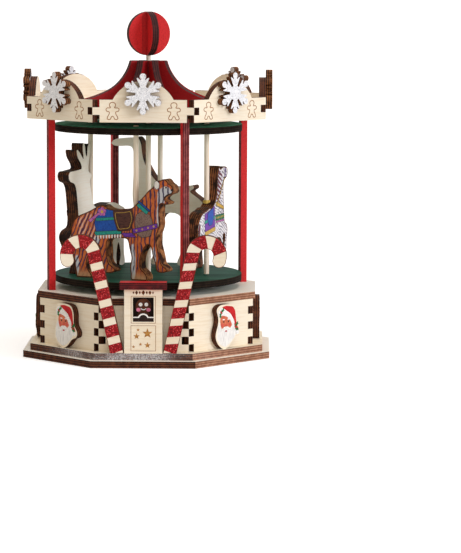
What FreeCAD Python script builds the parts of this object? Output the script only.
import FreeCAD, Part
import math
import os

# Carousel music box of laser-cut plywood, standing on its bottom plate.
# Millimetres, +Z up, origin at the middle of the underside, front of the booth towards -Y.
# Angles count from the front, positive towards +X.

# Plywood and dowels
ply = 3.0                   # flat wooden pieces, but not the riders
post_side = 3.0             # square corner posts
pole_diameter = 2.3
shaft_diameter = 2.3
fit_gap = 0.05              # radial room of a dowel or arbor in its hole
slot_gap = 0.05             # room on each side of a slotted joint

# Octagons, measured across the flats
bottom_width = 109.2
step_width = 103.0
deck_width = 96.4
crown_width = 104.8
deck_overhang = 1.0         # deck's edge outside the walls

# Carousel
disc_radius = 42.0
platform_gap = 3.0          # between deck and platform disc
rider_room = 64.2           # between the two discs
crown_gap = 4.4             # between canopy disc and crown plate
pole_circle = 26.6          # radius to the poles
pole_proud = 0.5            # pole ends above the canopy disc
rest_turn = -9.3            # degrees, the first pole's angle
post_circle = 45.8          # radius to the corner posts
spacer_radius = 5.0
rider_thickness = 5.6
rider_cover = 0.4           # wood between a rider's pole and its inner face
tiger_height = 44.9
horse_height = 48.0
giraffe_height = 59.3
reindeer_height = 58.4
tiger_twist = -15.0         # degrees, each rider's turn about its pole
horse_twist = -7.0          # degrees
giraffe_twist = -16.0       # degrees
reindeer_twist = -14.0      # degrees

# Crown and roof
panel_height = 9.7
panel_drop = 1.3            # crown panels below the crown plate
arch_width = 26.0
arch_rise = 8.0
snowflake_radius = 8.8
snowflake_lift = 2.6        # snowflake's middle above the shoulder of the panel
snowflake_core = 3.2
snowflake_tip = 1.35
roof_height = 20.6
roof_top_radius = 8.5
roof_foot_radius = 46.0
roof_foot_height = 1.2
fin_count = 8
hub_width = 8.0
ball_diameter = 19.5
ball_lift = 2.3             # between roof and ball
stem_diameter = 2.0
stem_depth = 4.0            # stem's length inside the hub and inside the ball

# Ornaments on the base
head_height = 19.6
head_offset = 1.0           # to the right of the wall's middle, seen from outside
booth_width = 16.5
booth_height = 28.0
booth_cap_width = 20.2
booth_cap_depth = 7.0
window_width = 9.0
window_height = 10.6
window_sill = 13.8          # above the foot of the booth
clerk_radius = 3.4
clerk_thickness = 1.2
clerk_room = 0.6            # between shoulders and window
clerk_height = 6.4          # middle of the face above the sill
clerk_neck = 4.0
shoulder_rise = 1.4
counter_height = 2.2
ledge_radius = 2.5
ledge_rise = 1.5
cane_width = 5.8
cane_stem = 45.0            # length of the straight stem
cane_bend = 5.9             # radius of the crook's middle line
cane_tip = 1.0              # straight end before the round tip
cane_lean = 12.8            # degrees
cane_foot = 11.4            # from the middle of the booth

# Musical movement
recess_radius = 15.0        # hole under the base for the winding key
bed_thickness = 1.5
bed_half_width = 18.0
bed_back = 18.5             # bed behind the barrel's axis
bed_margin = 0.8
boss_height = 0.5
boss_radius = 4.5
crown_module = 0.48
crown_teeth = 48
pinion_teeth = 12
crown_tooth_height = 1.1
crown_face = 2.0            # radial length of the crown teeth
crown_tooth_share = 0.26    # tooth over pitch
barrel_rim = 0.6            # barrel outside the crown teeth
barrel_depth = 4.2          # inside height
barrel_top = 1.0
barrel_wall = 1.2
cover_thickness = 0.8
socket_radius = 3.0
socket_height = 6.0
arbor_radius = 2.0
collar_radius = 2.8
collar_height = 0.7
spring_turns = 6
spring_strip = 0.35
spring_inner = 4.2
key_span = 25.0
key_thickness = 1.8
key_hub_radius = 3.2
key_height = 4.2
key_clearance = 0.6         # under the bed
upright_thickness = 1.4
running_gap = 0.6           # along the arbors, between moving and fixed pieces
cylinder_radius = 5.0
cylinder_length = 12.5
pin_height = 0.6
pin_radius = 0.28
tune_tracks = 16
pins_per_track = 3
cylinder_arbor = 0.8
wheel_module = 0.42
wheel_teeth = 30
fly_teeth = 10
wheel_width = 1.6
fly_angle = -25.0           # degrees, of the fly's arbor seen along the cylinder
fly_arbor = 0.5
fly_radius = 4.5
fly_length = 4.0
fly_blade = 0.5
mesh_gap = 0.06             # extra distance between meshing wheels
tooth_tip = 0.85            # tooth above and below the pitch circle, in modules
tooth_root = 1.15
tip_share = 0.2             # half a tooth at tip and root, over half the pitch
root_share = 0.62
comb_gap = 0.35             # from the pins to the tips of the comb
comb_reach = 6.0            # free length of the teeth
comb_root = 5.0
comb_thickness = 0.8
comb_tooth_share = 0.62     # tooth over pitch
box_headroom = 2.2          # between the wheel and the deck
screw_radius = 1.0
screw_head_radius = 1.8
screw_head = 1.1
screw_inset = 2.6
screw_grip = 2.4            # thread below the piece it holds
screw_slot = 0.5

SIDES = 8
TURN = 360.0 / SIDES
V = FreeCAD.Vector
Z_AXIS = V(0, 0, 1)
X_AXIS = V(1, 0, 0)

# Heights, from the bottom up
step_z = ply
box_z = step_z + ply
bed_z = box_z + bed_thickness
barrel_z = bed_z + boss_height
drum_top = barrel_z + cover_thickness + barrel_depth + barrel_top
crown_tip = drum_top + crown_tooth_height
crown_radius = crown_module * crown_teeth / 2
pinion_radius = crown_module * pinion_teeth / 2
axis_z = crown_tip - crown_module + pinion_radius
wheel_radius = wheel_module * wheel_teeth / 2
wheel_outer = wheel_radius + wheel_module
wall_height = axis_z + wheel_outer + box_headroom - box_z
deck_z = box_z + wall_height
deck_top = deck_z + ply
platform_z = deck_top + platform_gap
platform_top = platform_z + ply
canopy_z = platform_top + rider_room
canopy_top = canopy_z + ply
crown_z = canopy_top + crown_gap
crown_top = crown_z + ply
panel_z = crown_z - panel_drop
shoulder_z = panel_z + panel_height
roof_top = crown_top + roof_height
ball_z = roof_top + ball_lift

deck_face = deck_width / 2
wall_face = deck_face - deck_overhang
crown_face_y = crown_width / 2
shaft_hole = shaft_diameter / 2 + fit_gap
pole_hole = pole_diameter / 2 + fit_gap


def turned(shape, angle):
    """A copy of a piece drawn at the front, turned about the vertical axis."""
    copy = shape.copy()
    copy.rotate(V(0, 0, 0), Z_AXIS, angle)
    return copy


def cylinder(radius, z, height, x=0.0, y=0.0):
    return Part.makeCylinder(radius, height, V(x, y, z))


def rod_x(radius, x, length, y, z):
    return Part.makeCylinder(radius, length, V(x, y, z), X_AXIS)


def box(x, y, z, dx, dy, dz):
    return Part.makeBox(dx, dy, dz, V(x, y, z))


def octagon(width, z, height):
    """Eight-sided plate with flats towards the front and sides."""
    corner = width / 2 / math.cos(math.pi / SIDES)
    angles = [math.pi / SIDES * (2 * k + 1) for k in range(SIDES + 1)]
    points = [V(corner * math.sin(a), -corner * math.cos(a), z) for a in angles]
    return Part.Face(Part.makePolygon(points)).extrude(V(0, 0, height))


def half_side(width):
    return width / 2 * math.tan(math.pi / SIDES)


def flat(points, face_y, thickness):
    """Straight-edged board in a front plane, its outer face at face_y."""
    corners = [V(x, face_y, z) for x, z in points]
    return Part.Face(Part.makePolygon(corners + corners[:1])).extrude(V(0, thickness, 0))


def curved(points, face_y, thickness):
    """Board in a front plane with a smooth outline through the points."""
    corners = [V(x, face_y, z) for x, z in points]
    steps = [0.0]
    for here, there in zip(corners, corners[1:] + corners[:1]):
        steps.append(steps[-1] + math.sqrt((there - here).Length))
    curve = Part.BSplineCurve()
    curve.interpolate(Points=corners, PeriodicFlag=True, Parameters=steps)
    return Part.Face(Part.Wire(curve.toShape())).extrude(V(0, thickness, 0))


def standing(board, floor_z):
    """A board cut flat where it stands; one that hangs clear of the floor stays whole."""
    room = board.BoundBox
    if room.ZMin >= floor_z:
        return board
    below = box(room.XMin, room.YMin, room.ZMin, room.XLength, room.YLength, floor_z - room.ZMin)
    return board.cut(below)


def scaled(points, height):
    """Outline points at another height, in proportion."""
    drawn = max(z for _, z in points)
    return [(u * height / drawn, z * height / drawn) for u, z in points]


def gear(module, teeth, x, width, y, z, first_tooth):
    """Spur wheel along X; first_tooth is a tooth's angle from +Y towards +Z."""
    pitch = module * teeth / 2
    tip, root = pitch + tooth_tip * module, pitch - tooth_root * module
    half = math.pi / teeth
    profile = ((-root_share, root), (-tip_share, tip), (tip_share, tip), (root_share, root))
    points = []
    for k in range(teeth):
        middle = math.radians(first_tooth) + 2 * half * k
        for turn, radius in profile:
            angle = middle + turn * half
            points.append(V(x, y + radius * math.cos(angle), z + radius * math.sin(angle)))
    return Part.Face(Part.makePolygon(points + points[:1])).extrude(V(width, 0, 0))


def save(name, shape):
    if not shape.isValid():
        raise ValueError(name + " is not a valid shape")
    shape.exportStep("parts/" + name + ".step")


def fingered(width, z, height, tabs, depth):
    """Ends of a board with square fingers, from the bottom up, with a tab where a row is true."""
    end = half_side(width)
    row = height / len(tabs)
    right = []
    for k, tab in enumerate(tabs):
        x = end if tab else end - depth
        right += [(x, z + k * row), (x, z + (k + 1) * row)]
    left = [(-x, z) for x, z in right]
    return right, left


# Base plates and box

def bottom_plate():
    plate = octagon(bottom_width, 0, ply)
    return plate.cut(cylinder(recess_radius, 0, ply))


def screw_places():
    """Bed screws at the corners of the movement's bed."""
    y = bed_half_width - screw_inset
    return [(x, s * y) for x in (-bed_back + screw_inset, bed_front - screw_inset) for s in (-1, 1)]


def step_plate():
    plate = octagon(step_width, step_z, ply).cut(cylinder(recess_radius, step_z, ply))
    for x, y in screw_places():
        plate = plate.cut(cylinder(screw_radius + fit_gap, step_z, ply, x, y))
    return plate


def deck_plate():
    return octagon(deck_width, deck_z, ply).cut(cylinder(shaft_hole, deck_z, ply))


def base_wall(side):
    """Wall board; every other one has the top finger at both ends."""
    rows = 6
    tabs = [(k + side) % 2 == 0 for k in range(rows)]
    right, left = fingered(2 * wall_face, box_z, wall_height, tabs, ply + slot_gap)
    board = flat(right + left[::-1], -wall_face, ply)
    return turned(board, TURN * side)


# Head seen from outside: beard below, cap with its tip hanging down on the right
HEAD_OUTLINE = [
    (-1.6, 0.0), (1.9, 1.7), (4.8, 4.4), (7.2, 5.4), (7.7, 7.8), (5.9, 10.4), (5.6, 13.6), (5.2, 16.8),
    (3.4, 19.0), (-1.0, 19.6), (-4.9, 19.2), (-6.6, 17.4), (-5.9, 14.6), (-5.8, 11.2), (-6.9, 8.0),
    (-7.1, 4.8), (-5.2, 1.7),
]


def wall_heads():
    """Bearded winter-cap heads, one on every wall but the front, standing on the step plate."""
    drawn = [(u + head_offset, z + box_z) for u, z in scaled(HEAD_OUTLINE, head_height)]
    head = standing(curved(drawn, -wall_face - ply, ply), box_z)
    return Part.makeCompound([turned(head, TURN * k) for k in range(1, SIDES)])


def corner_post(k):
    half = post_side / 2
    post = box(-half, -post_circle - half, deck_top, post_side, post_side, crown_z - deck_top)
    return turned(post, TURN / 2 + 90 * k)


# Booth and canes

def booth_front():
    width, sill = booth_width / 2, box_z + window_sill
    board = box(-width, -deck_face - ply, box_z, booth_width, ply, booth_height)
    return board.cut(box(-window_width / 2, -deck_face - ply, sill, window_width, ply, window_height))


def booth_cap():
    back = -deck_face
    return box(-booth_cap_width / 2, back - booth_cap_depth + ply / 2, box_z + booth_height,
               booth_cap_width, booth_cap_depth, ply)


def booth_clerk():
    """Gingerbread head and shoulders in the window, fixed to the deck's edge."""
    sill = box_z + window_sill
    middle = sill + clerk_height
    face_y = -deck_face - clerk_thickness
    head = Part.makeCylinder(clerk_radius, clerk_thickness, V(0, face_y, middle), V(0, 1, 0))
    shoulder = window_width / 2 - clerk_room
    neck, neck_z = clerk_neck / 2, middle - clerk_radius + clerk_room
    body = flat([(-shoulder, sill), (shoulder, sill), (shoulder, sill + shoulder_rise), (neck, neck_z),
                 (-neck, neck_z), (-shoulder, sill + shoulder_rise)], face_y, clerk_thickness)
    return head.fuse(body).removeSplitter()


def booth_counter():
    """Counter strip across the window, with a rounded ledge in its middle."""
    sill = box_z + window_sill
    face_y = -deck_face - ply
    end = window_width / 2
    depth = ply - clerk_thickness
    strip = box(-end, face_y, sill, window_width, depth, counter_height)
    middle = V(0, face_y, sill + counter_height + ledge_rise - ledge_radius)
    rise = Part.makeCylinder(ledge_radius, depth, middle, V(0, 1, 0))
    rise = rise.common(box(-end, face_y, sill, window_width, depth, window_height))
    return strip.fuse(rise).removeSplitter()


def candy_cane(side):
    """Flat cane leaning outward; side is -1 for the left one and 1 for the right one."""
    lean = math.radians(cane_lean)
    up = (side * math.sin(lean), math.cos(lean))
    out = (side * math.cos(lean), -math.sin(lean))
    foot_cut = cane_width / 2 * math.tan(lean)

    def place(along, across):
        x = side * cane_foot + along * up[0] + across * out[0]
        z = box_z + along * up[1] + across * out[1]
        return V(x, -deck_face - ply, z)

    def bend(radius, angle):
        a = math.radians(angle)
        return place(cane_stem + radius * math.sin(a), cane_bend - radius * math.cos(a))

    half = cane_width / 2
    outer, inner = cane_bend + half, cane_bend - half
    tip = cane_stem - cane_tip
    end = 2 * cane_bend
    edges = [
        Part.LineSegment(place(-foot_cut, -half), place(cane_stem, -half)),
        Part.Arc(bend(outer, 0), bend(outer, 90), bend(outer, 180)),
        Part.LineSegment(place(cane_stem, end + half), place(tip, end + half)),
        Part.Arc(place(tip, end + half), place(tip - half, end), place(tip, end - half)),
        Part.LineSegment(place(tip, end - half), place(cane_stem, end - half)),
        Part.Arc(bend(inner, 180), bend(inner, 90), bend(inner, 0)),
        Part.LineSegment(place(cane_stem, half), place(foot_cut, half)),
        Part.LineSegment(place(foot_cut, half), place(-foot_cut, -half)),
    ]
    wire = Part.Wire([edge.toShape() for edge in edges])
    return Part.Face(wire).extrude(V(0, ply, 0))


# Crown and roof

def crown_plate():
    plate = octagon(crown_width - 2 * ply, crown_z, ply)
    return plate.cut(cylinder(shaft_hole, crown_z, ply))


def crown_panel(side):
    """Panel with an arch; every other one has the middle finger at both ends."""
    tabs = [(k + side) % 2 == 1 for k in range(3)]
    right, left = fingered(crown_width, panel_z, panel_height, tabs, ply + slot_gap)
    board = flat(right + left[::-1], -crown_face_y, ply)
    radius = (arch_width ** 2 / 4 + arch_rise ** 2) / (2 * arch_rise)
    arch = Part.makeCylinder(radius, ply, V(0, -crown_face_y, shoulder_z + arch_rise - radius), V(0, 1, 0))
    arch = arch.common(box(-arch_width, -crown_face_y, panel_z, 2 * arch_width, ply,
                           panel_height + 2 * arch_rise))
    return turned(board.fuse(arch).removeSplitter(), TURN * side)


# Half of a snowflake's arm: across and along it, over the snowflake's radius
FLAKE_ARM = [(0.12, 0.0), (0.12, 0.32), (0.3, 0.745), (0.26, 0.79), (0.11, 0.66), (0.09, 0.85)]


def snowflake():
    """Six arms with a pair of barbs and a round end each, in front of the panel."""
    face_y = -crown_face_y - ply
    middle = V(0, face_y, shoulder_z + snowflake_lift)
    half = [(across * snowflake_radius, along * snowflake_radius + middle.z) for across, along in FLAKE_ARM]
    arm = flat(half + [(-x, z) for x, z in half[::-1]], face_y, ply)
    reach = snowflake_radius - snowflake_tip
    arm = arm.fuse(Part.makeCylinder(snowflake_tip, ply, middle + V(0, 0, reach), V(0, 1, 0)))
    arms = []
    for k in range(6):
        copy = arm.copy()
        copy.rotate(middle, V(0, 1, 0), 60 * k)
        arms.append(copy)
    core = Part.makeCylinder(snowflake_core, ply, middle, V(0, 1, 0))
    return core.multiFuse(arms).removeSplitter()


def crown_snowflakes():
    flake = snowflake()
    return Part.makeCompound([turned(flake, TURN * k) for k in range(SIDES)])


def roof_fin(k):
    """Upright fin with a hollow flare from the roof's top to its foot."""
    inner = hub_width / 2
    top, foot = roof_top_radius, roof_foot_radius
    drop = roof_height - roof_foot_height
    flare = [(0.045, 0.22), (0.135, 0.46), (0.22, 0.6), (0.305, 0.695), (0.4, 0.775), (0.59, 0.895)]
    points = [(top, roof_top)]
    points += [(top + (foot - top) * u, roof_top - drop * v) for u, v in flare]
    points += [(foot, crown_top + roof_foot_height)]
    half = ply / 2
    curve = Part.BSplineCurve()
    curve.interpolate([V(-half, -r, z) for r, z in points])
    corners = [V(-half, -foot, crown_top + roof_foot_height), V(-half, -foot, crown_top),
               V(-half, -inner, crown_top), V(-half, -inner, roof_top), V(-half, -top, roof_top)]
    edges = [curve.toShape()]
    edges += [Part.LineSegment(a, b).toShape() for a, b in zip(corners, corners[1:])]
    fin = Part.Face(Part.Wire(edges)).extrude(V(ply, 0, 0))
    return turned(fin, 360.0 / fin_count * (k + 0.5))


def roof_fins():
    return Part.makeCompound([roof_fin(k) for k in range(fin_count)])


def roof_hub():
    sides = fin_count
    corner = hub_width / 2 / math.cos(math.pi / sides)
    angles = [2 * math.pi * k / sides for k in range(sides + 1)]
    points = [V(corner * math.sin(a), -corner * math.cos(a), crown_top) for a in angles]
    hub = Part.Face(Part.makePolygon(points)).extrude(V(0, 0, roof_height))
    return hub.cut(cylinder(stem_diameter / 2 + fit_gap, roof_top - stem_depth, stem_depth))


def ball_disc(angle, slot_on_top):
    """Upright disc with a slot that takes the other disc."""
    radius = ball_diameter / 2
    middle = ball_z + radius
    disc = Part.makeCylinder(radius, ply, V(0, -ply / 2, middle), V(0, 1, 0))
    slot = ply + 2 * slot_gap
    slot_z = middle if slot_on_top else ball_z
    disc = disc.cut(box(-slot / 2, -ply, slot_z, slot, 2 * ply, radius))
    if slot_on_top:
        disc = disc.cut(cylinder(stem_diameter / 2 + fit_gap, ball_z, stem_depth))
    return turned(disc, angle)


def finial_stem():
    return cylinder(stem_diameter / 2, roof_top - stem_depth, ball_lift + 2 * stem_depth)


# Turning carousel

def turning_disc(z):
    disc = cylinder(disc_radius, z, ply).cut(cylinder(shaft_hole, z, ply))
    for k in range(4):
        disc = disc.cut(turned(cylinder(pole_hole, z, ply, 0, -pole_circle), rest_turn + 90 * k))
    return disc


def platform_spacer():
    ring = cylinder(spacer_radius, deck_top, platform_gap)
    return ring.cut(cylinder(shaft_hole, deck_top, platform_gap))


def main_shaft():
    top = crown_z + ply - fit_gap
    return cylinder(shaft_diameter / 2, drum_top, top - drum_top)


def pole(k):
    rod = cylinder(pole_diameter / 2, platform_z, canopy_top + pole_proud - platform_z, 0, -pole_circle)
    return turned(rod, rest_turn + 90 * k)


# Riders, drawn facing right with the pole at 0 and the feet at 0

TIGER = [
    (20.3, 40.2), (20.2, 39.4), (19.4, 38.6), (17.9, 38.1), (16.7, 37.4), (16.0, 36.4), (16.8, 35.4),
    (18.0, 34.8), (17.7, 34.1), (16.2, 33.8), (14.2, 34.0), (13.6, 32.3), (13.4, 29.7), (13.4, 27.5),
    (13.6, 25.3), (13.0, 22.6), (12.0, 19.5), (12.4, 15.6), (13.8, 10.4), (14.6, 7.6), (16.7, 5.9),
    (17.0, 4.6), (12.6, 4.3), (11.6, 7.2), (10.5, 10.1), (9.3, 14.8), (8.2, 15.9), (7.2, 15.5),
    (5.6, 13.3), (4.4, 10.4), (4.0, 7.6), (4.5, 5.1), (6.6, 3.2), (7.0, 0.0), (0.0, 0.0), (-0.5, 2.6),
    (-0.8, 5.8), (-0.2, 9.6), (-0.9, 12.8), (-1.6, 16.1), (-2.4, 17.8), (-4.4, 18.2), (-7.3, 18.1),
    (-10.3, 17.7), (-12.0, 16.7), (-12.5, 13.4), (-12.1, 9.0), (-11.0, 6.5), (-8.7, 4.8), (-8.6, 3.3),
    (-14.5, 3.0), (-15.6, 5.8), (-15.9, 9.4), (-15.9, 12.9), (-17.0, 14.8), (-18.8, 13.0), (-21.3, 9.8),
    (-22.4, 6.8), (-21.8, 3.8), (-20.3, 1.8), (-20.4, 0.0), (-27.1, 0.0), (-27.7, 1.6), (-28.2, 4.4),
    (-28.7, 8.2), (-29.6, 11.0), (-30.1, 14.4), (-30.3, 18.0), (-30.2, 21.1), (-29.5, 23.8),
    (-28.0, 26.0), (-25.5, 27.7), (-22.0, 29.1), (-18.9, 30.7), (-16.2, 32.1), (-13.9, 32.4),
    (-11.8, 31.3), (-9.3, 30.7), (-6.3, 30.7), (-2.9, 31.1), (0.2, 31.9), (2.5, 33.9), (5.6, 36.9),
    (8.6, 40.0), (10.5, 41.6), (10.9, 42.9), (12.1, 44.1), (13.8, 44.3), (15.3, 44.9), (16.9, 44.4),
    (18.0, 43.1), (19.3, 42.3), (20.0, 41.2),
]

HORSE = [
    (6.4, 48.0), (8.0, 46.9), (11.6, 47.5), (15.6, 47.3), (18.0, 46.5), (18.7, 44.7), (17.6, 42.7),
    (14.8, 41.8), (13.0, 40.4), (12.4, 37.4), (12.7, 33.2), (13.4, 28.2), (14.0, 24.2), (14.8, 22.2),
    (16.8, 21.4), (18.6, 19.6), (18.6, 17.0), (17.3, 13.2), (17.0, 9.6), (13.8, 9.4), (14.1, 12.6),
    (15.0, 16.0), (13.4, 17.0), (12.0, 15.6), (12.4, 13.4), (11.4, 11.6), (9.2, 10.8), (8.2, 12.4),
    (9.2, 13.6), (8.2, 15.0), (5.0, 15.8), (0.0, 15.6), (-6.0, 15.6), (-11.0, 16.4), (-14.0, 15.4),
    (-17.4, 14.8), (-20.4, 13.6), (-23.2, 11.8), (-26.4, 11.6), (-26.8, 13.4), (-24.6, 14.6),
    (-23.6, 16.4), (-24.6, 18.6), (-25.4, 21.4), (-24.6, 24.4), (-22.6, 26.8), (-18.0, 29.0),
    (-13.0, 29.6), (-8.6, 30.5), (-5.0, 30.4), (-1.4, 31.8), (1.4, 34.0), (2.8, 37.6), (3.4, 42.0),
    (4.4, 45.8),
]

GIRAFFE = [
    (12.4, 59.3), (16.0, 58.7), (20.0, 58.4), (23.2, 57.6), (24.5, 56.0), (22.4, 54.9), (17.6, 55.0),
    (13.9, 54.4), (13.0, 50.0), (13.0, 44.0), (13.4, 37.0), (13.4, 30.0), (12.4, 25.0), (11.6, 20.0),
    (11.8, 14.6), (11.0, 9.2), (11.2, 4.2), (12.6, 0.0), (8.6, 0.0), (8.4, 4.4), (7.6, 10.0), (6.6, 17.0),
    (5.2, 20.4), (4.0, 15.0), (3.2, 8.6), (3.0, 4.8), (4.2, 1.4), (0.4, 1.4), (0.6, 5.2), (0.8, 9.8),
    (0.6, 17.0), (-0.8, 22.6), (-3.4, 24.6), (-8.0, 24.9), (-11.2, 23.4), (-12.0, 18.0), (-11.8, 11.0),
    (-11.0, 5.6), (-9.8, 1.4), (-13.6, 1.4), (-14.2, 6.0), (-14.8, 11.5), (-15.6, 17.6), (-16.4, 11.4),
    (-16.6, 5.4), (-15.4, 0.0), (-19.4, 0.0), (-19.8, 5.4), (-20.0, 12.0), (-20.6, 18.6), (-22.4, 24.0),
    (-24.0, 27.4), (-22.4, 30.4), (-19.0, 33.0), (-16.2, 35.3), (-17.9, 36.6), (-17.5, 38.0),
    (-14.6, 37.3), (-11.0, 37.1), (-7.6, 36.9), (-3.0, 37.4), (1.6, 39.6), (5.2, 43.8), (7.8, 48.6),
    (8.8, 53.4), (9.8, 57.6),
]

REINDEER = [
    (10.2, 58.4), (10.5, 55.0), (10.0, 51.4), (13.0, 54.0), (16.3, 55.7), (15.7, 52.8), (12.6, 49.6),
    (11.8, 47.4), (15.0, 46.8), (20.0, 46.5), (23.2, 46.2), (24.2, 44.4), (22.8, 42.2), (19.2, 41.0),
    (17.0, 38.0), (15.8, 32.0), (15.0, 26.4), (15.8, 21.6), (19.4, 20.4), (22.6, 18.6), (22.8, 16.0),
    (20.2, 11.8), (20.2, 8.8), (16.8, 8.6), (17.2, 12.0), (18.4, 15.2), (15.6, 15.8), (12.8, 14.6),
    (12.0, 11.0), (12.0, 7.6), (11.8, 3.8), (13.2, 0.0), (9.2, 0.0), (9.4, 4.0), (9.0, 8.0), (8.0, 12.4),
    (4.8, 14.6), (-1.0, 15.0), (-8.0, 14.6), (-14.6, 14.2), (-18.4, 12.2), (-19.6, 8.0), (-19.4, 3.8),
    (-18.4, 0.0), (-22.4, 0.0), (-22.8, 4.0), (-23.6, 8.4), (-25.0, 10.8), (-26.6, 8.0), (-27.0, 3.6),
    (-26.2, 0.6), (-31.2, 0.6), (-31.0, 4.4), (-30.6, 9.6), (-30.4, 15.0), (-30.6, 20.2), (-32.0, 23.4),
    (-31.2, 26.2), (-28.6, 27.2), (-24.0, 28.8), (-18.0, 29.8), (-12.0, 29.4), (-6.0, 28.6), (-1.4, 29.2),
    (1.4, 32.4), (2.8, 37.4), (3.6, 41.4), (2.2, 43.8), (4.6, 45.4), (5.0, 48.4), (4.0, 52.8),
    (3.8, 57.8), (5.7, 56.8), (6.7, 52.4), (7.8, 53.6), (8.6, 57.2),
]


def rider(outline, height, twist, k):
    """Flat animal on its pole, which passes through the board near its inner face."""
    inner_y = -pole_circle + pole_diameter / 2 + rider_cover
    drawn = [(u, z + platform_top) for u, z in scaled(outline, height)]
    body = standing(curved(drawn, inner_y - rider_thickness, rider_thickness), platform_top)
    body = body.cut(cylinder(pole_diameter / 2, platform_top, height, 0, -pole_circle))
    body.rotate(V(0, -pole_circle, 0), Z_AXIS, twist)
    return turned(body, rest_turn + 90 * k)


# Musical movement; the cylinder lies along +X, its pinion over the barrel's crown wheel

barrel_radius = crown_radius + crown_face / 2 + barrel_rim
upright_x = barrel_radius + running_gap
cylinder_x = upright_x + upright_thickness + running_gap
wheel_x = cylinder_x + cylinder_length + running_gap
outboard_x = wheel_x + wheel_width + running_gap
fly_x = outboard_x + upright_thickness + running_gap
fly_end = fly_x + fly_length
bed_front = fly_end + bed_margin
fly_distance = wheel_radius + wheel_module * fly_teeth / 2 + mesh_gap
fly_y = fly_distance * math.cos(math.radians(fly_angle))
fly_z = axis_z + fly_distance * math.sin(math.radians(fly_angle))
comb_y = -(cylinder_radius + pin_height + comb_gap)
comb_z = axis_z - comb_thickness
bearing_wall = 1.2          # metal round each arbor hole


def comb_screws():
    y = comb_y - comb_reach - comb_root / 2
    return [(cylinder_x + cylinder_length * share, y) for share in (0.15, 0.5, 0.85)]


def movement_frame():
    """Cast bed with a boss for the barrel, three bearing uprights and the comb's seat."""
    bed = box(-bed_back, -bed_half_width, box_z, bed_back + bed_front, 2 * bed_half_width, bed_thickness)
    boss = cylinder(boss_radius, box_z, bed_thickness + boss_height)
    half = cylinder_arbor + fit_gap + bearing_wall
    low = box_z
    inner = box(upright_x, -half, low, upright_thickness, 2 * half, axis_z + half - low)
    fly_half = fly_arbor + fit_gap + bearing_wall
    outboard = box(outboard_x, -half, low, upright_thickness, fly_y + fly_half + half, axis_z + half - low)
    rear_y = max(cylinder_radius + pin_height + comb_gap, fly_y - fly_half)
    rear_x = wheel_x - running_gap - upright_thickness
    rear = box(rear_x, rear_y, low, upright_thickness, fly_y + fly_half - rear_y, fly_z + fly_half - low)
    seat = box(cylinder_x, comb_y - comb_reach - comb_root, low, cylinder_length, comb_root, comb_z - low)
    frame = bed.multiFuse([boss, inner, outboard, rear, seat]).removeSplitter()
    holes = [cylinder(arbor_radius + fit_gap, box_z, bed_thickness + boss_height)]
    far_x = outboard_x + upright_thickness
    holes.append(rod_x(cylinder_arbor + fit_gap, upright_x, far_x - upright_x, 0, axis_z))
    holes.append(rod_x(fly_arbor + fit_gap, rear_x, far_x - rear_x, fly_y, fly_z))
    holes += [cylinder(screw_radius + fit_gap, box_z, bed_thickness, x, y) for x, y in screw_places()]
    depth = screw_grip + running_gap
    holes += [cylinder(screw_radius + fit_gap, comb_z - depth, depth, x, y) for x, y in comb_screws()]
    for hole in holes:
        frame = frame.cut(hole)
    return frame


def screw(x, y, seat_z, length):
    shank = cylinder(screw_radius, seat_z - length, length, x, y)
    head = cylinder(screw_head_radius, seat_z, screw_head, x, y)
    slot = box(x - screw_head_radius, y - screw_slot / 2, seat_z + screw_head - screw_slot,
               2 * screw_head_radius, screw_slot, screw_slot)
    return shank.fuse(head).cut(slot)


def movement_screws():
    bed = [screw(x, y, bed_z, bed_thickness + screw_grip) for x, y in screw_places()]
    comb = [screw(x, y, comb_z + comb_thickness, comb_thickness + screw_grip) for x, y in comb_screws()]
    return Part.makeCompound(bed + comb)


def spring_barrel():
    """Drum open below, with the crown wheel's teeth and the shaft's socket on top."""
    height = drum_top - barrel_z
    drum = cylinder(barrel_radius, barrel_z, height)
    drum = drum.cut(cylinder(barrel_radius - barrel_wall, barrel_z, height - barrel_top))
    socket = cylinder(socket_radius, drum_top, socket_height)
    socket = socket.cut(cylinder(shaft_hole, drum_top, socket_height))
    pieces = [socket]
    tooth_width = math.pi * crown_module * crown_tooth_share
    for k in range(crown_teeth):
        tooth = box(crown_radius - crown_face / 2, -tooth_width / 2, drum_top, crown_face, tooth_width,
                    crown_tooth_height)
        pieces.append(turned(tooth, 360.0 / crown_teeth * (k + 0.5)))
    return drum.multiFuse(pieces).removeSplitter()


def barrel_cover():
    cover = cylinder(barrel_radius - barrel_wall - fit_gap, barrel_z, cover_thickness)
    return cover.cut(cylinder(arbor_radius + fit_gap, barrel_z, cover_thickness))


def mainspring():
    """Flat strip wound in half turns from the arbor to the drum."""
    outer = barrel_radius - barrel_wall - 2 * spring_strip
    step = (outer - spring_inner) / (2 * spring_turns)
    z = barrel_z + cover_thickness + fit_gap
    inner_edge, outer_edge = [], []
    x = spring_inner
    for k in range(2 * spring_turns):
        side = 1 if k % 2 == 0 else -1
        radius = (2 * spring_inner + (2 * k + 1) * step) / 2
        start = V(x, 0, z)
        middle = V(x - side * radius, 0, z)
        stop = V(x - side * 2 * radius, 0, z)
        crest = V(middle.x, side * radius, z)
        inner_edge.append(Part.Arc(start, crest, stop).toShape())
        grow = spring_strip
        outer_edge.append(Part.Arc(start + V(side * grow, 0, 0), crest + V(0, side * grow, 0),
                                   stop - V(side * grow, 0, 0)).toShape())
        x = stop.x
    first = Part.LineSegment(inner_edge[0].Vertexes[0].Point, outer_edge[0].Vertexes[0].Point).toShape()
    last = Part.LineSegment(inner_edge[-1].Vertexes[-1].Point, outer_edge[-1].Vertexes[-1].Point).toShape()
    wire = Part.Wire(Part.__sortEdges__(inner_edge + [last] + outer_edge + [first]))
    return Part.Face(wire).extrude(V(0, 0, barrel_depth - 4 * fit_gap))


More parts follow.
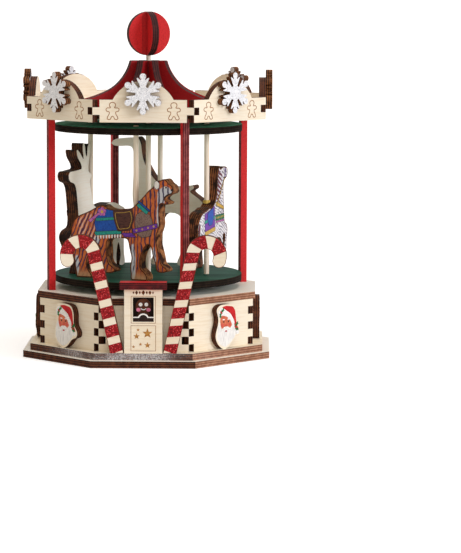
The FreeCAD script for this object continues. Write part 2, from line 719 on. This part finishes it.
def winding_arbor():
    foot = box_z - key_clearance - key_height
    top = drum_top - barrel_top - fit_gap
    rod = cylinder(arbor_radius, foot, top - foot)
    collar = cylinder(collar_radius, barrel_z + cover_thickness, collar_height)
    return rod.fuse(collar).removeSplitter()


def winding_key():
    """Two-winged key round the arbor's foot, inside the recess under the base."""
    foot = box_z - key_clearance - key_height
    reach = key_span / 2 - key_thickness / 2
    wing = box(-reach, -key_thickness / 2, foot, 2 * reach, key_thickness, key_height)
    ends = [cylinder(key_thickness / 2, foot, key_height, s * reach) for s in (-1, 1)]
    hub = cylinder(key_hub_radius, foot, key_height)
    key = wing.multiFuse(ends + [hub]).removeSplitter()
    return key.cut(cylinder(arbor_radius + fit_gap, foot, key_height))


def pin_cylinder():
    """Arbor with the drive pinion, the pinned cylinder and the fly's wheel."""
    pinion_x = crown_radius - crown_face / 2
    arbor = rod_x(cylinder_arbor, pinion_x, outboard_x + upright_thickness - pinion_x, 0, axis_z)
    drum = rod_x(cylinder_radius, cylinder_x, cylinder_length, 0, axis_z)
    pinion = gear(crown_module, pinion_teeth, pinion_x, crown_face, 0, axis_z, -90)
    wheel = gear(wheel_module, wheel_teeth, wheel_x, wheel_width, 0, axis_z, fly_angle)
    pitch = cylinder_length / tune_tracks
    pins = []
    for track in range(tune_tracks):
        for n in range(pins_per_track):
            angle = math.radians(360.0 / pins_per_track * n + 47.0 * track + 13.0 * n * n)
            way = V(0, math.cos(angle), math.sin(angle))
            foot = V(cylinder_x + pitch * (track + 0.5), 0, axis_z) + way * (cylinder_radius - pin_height)
            pins.append(Part.makeCylinder(pin_radius, 2 * pin_height, foot, way))
    return arbor.multiFuse([drum, pinion, wheel] + pins).removeSplitter()


def tuned_comb():
    """Steel comb whose teeth reach towards the pins, one per track."""
    pitch = cylinder_length / tune_tracks
    tooth = pitch * comb_tooth_share
    root = comb_y - comb_reach
    points = [V(cylinder_x, root - comb_root, comb_z), V(cylinder_x, root, comb_z)]
    for track in range(tune_tracks):
        left = cylinder_x + pitch * (track + 0.5) - tooth / 2
        for x, y in ((left, root), (left, comb_y), (left + tooth, comb_y), (left + tooth, root)):
            points.append(V(x, y, comb_z))
    points += [V(cylinder_x + cylinder_length, root, comb_z),
               V(cylinder_x + cylinder_length, root - comb_root, comb_z)]
    comb = Part.Face(Part.makePolygon(points + points[:1])).extrude(V(0, 0, comb_thickness))
    for x, y in comb_screws():
        comb = comb.cut(cylinder(screw_radius + fit_gap, comb_z, comb_thickness, x, y))
    return comb


def governor_fly():
    """Fast arbor with a pinion and a two-bladed air brake."""
    start = wheel_x - running_gap - upright_thickness
    arbor = rod_x(fly_arbor, start, fly_end - start, fly_y, fly_z)
    pinion = gear(wheel_module, fly_teeth, wheel_x, wheel_width, fly_y, fly_z,
                  fly_angle + 180 + 180.0 / fly_teeth)
    blades = box(fly_x, fly_y - fly_radius, fly_z - fly_blade / 2, fly_length, 2 * fly_radius, fly_blade)
    return arbor.multiFuse([pinion, blades]).removeSplitter()


def main():
    os.makedirs("parts", exist_ok=True)
    save("bottom_plate", bottom_plate())
    save("step_plate", step_plate())
    save("deck_plate", deck_plate())
    for side in range(SIDES):
        save("base_wall_%d" % (side + 1), base_wall(side))
    save("winter_cap_heads", wall_heads())
    save("booth_front", booth_front())
    save("booth_cap", booth_cap())
    save("booth_clerk", booth_clerk())
    save("booth_counter", booth_counter())
    save("candy_cane_left", candy_cane(-1))
    save("candy_cane_right", candy_cane(1))
    for k in range(4):
        save("corner_post_%d" % (k + 1), corner_post(k))
    save("crown_plate", crown_plate())
    for side in range(SIDES):
        save("crown_panel_%d" % (side + 1), crown_panel(side))
    save("crown_snowflakes", crown_snowflakes())
    save("roof_hub", roof_hub())
    save("roof_fins", roof_fins())
    save("ball_disc_front", ball_disc(TURN / 2, True))
    save("ball_disc_cross", ball_disc(TURN / 2 + 90, False))
    save("finial_stem", finial_stem())
    save("platform_disc", turning_disc(platform_z))
    save("canopy_disc", turning_disc(canopy_z))
    save("platform_spacer", platform_spacer())
    save("main_shaft", main_shaft())
    riders = (("tiger", TIGER, tiger_height, tiger_twist), ("horse", HORSE, horse_height, horse_twist),
              ("giraffe", GIRAFFE, giraffe_height, giraffe_twist),
              ("reindeer", REINDEER, reindeer_height, reindeer_twist))
    for k, (name, outline, height, twist) in enumerate(riders):
        save(name + "_pole", pole(k))
        save(name, rider(outline, height, twist, k))
    save("movement_frame", movement_frame())
    save("movement_screws", movement_screws())
    save("spring_barrel", spring_barrel())
    save("barrel_cover", barrel_cover())
    save("mainspring", mainspring())
    save("winding_arbor", winding_arbor())
    save("winding_key", winding_key())
    save("pin_cylinder", pin_cylinder())
    save("tuned_comb", tuned_comb())
    save("governor_fly", governor_fly())


main()
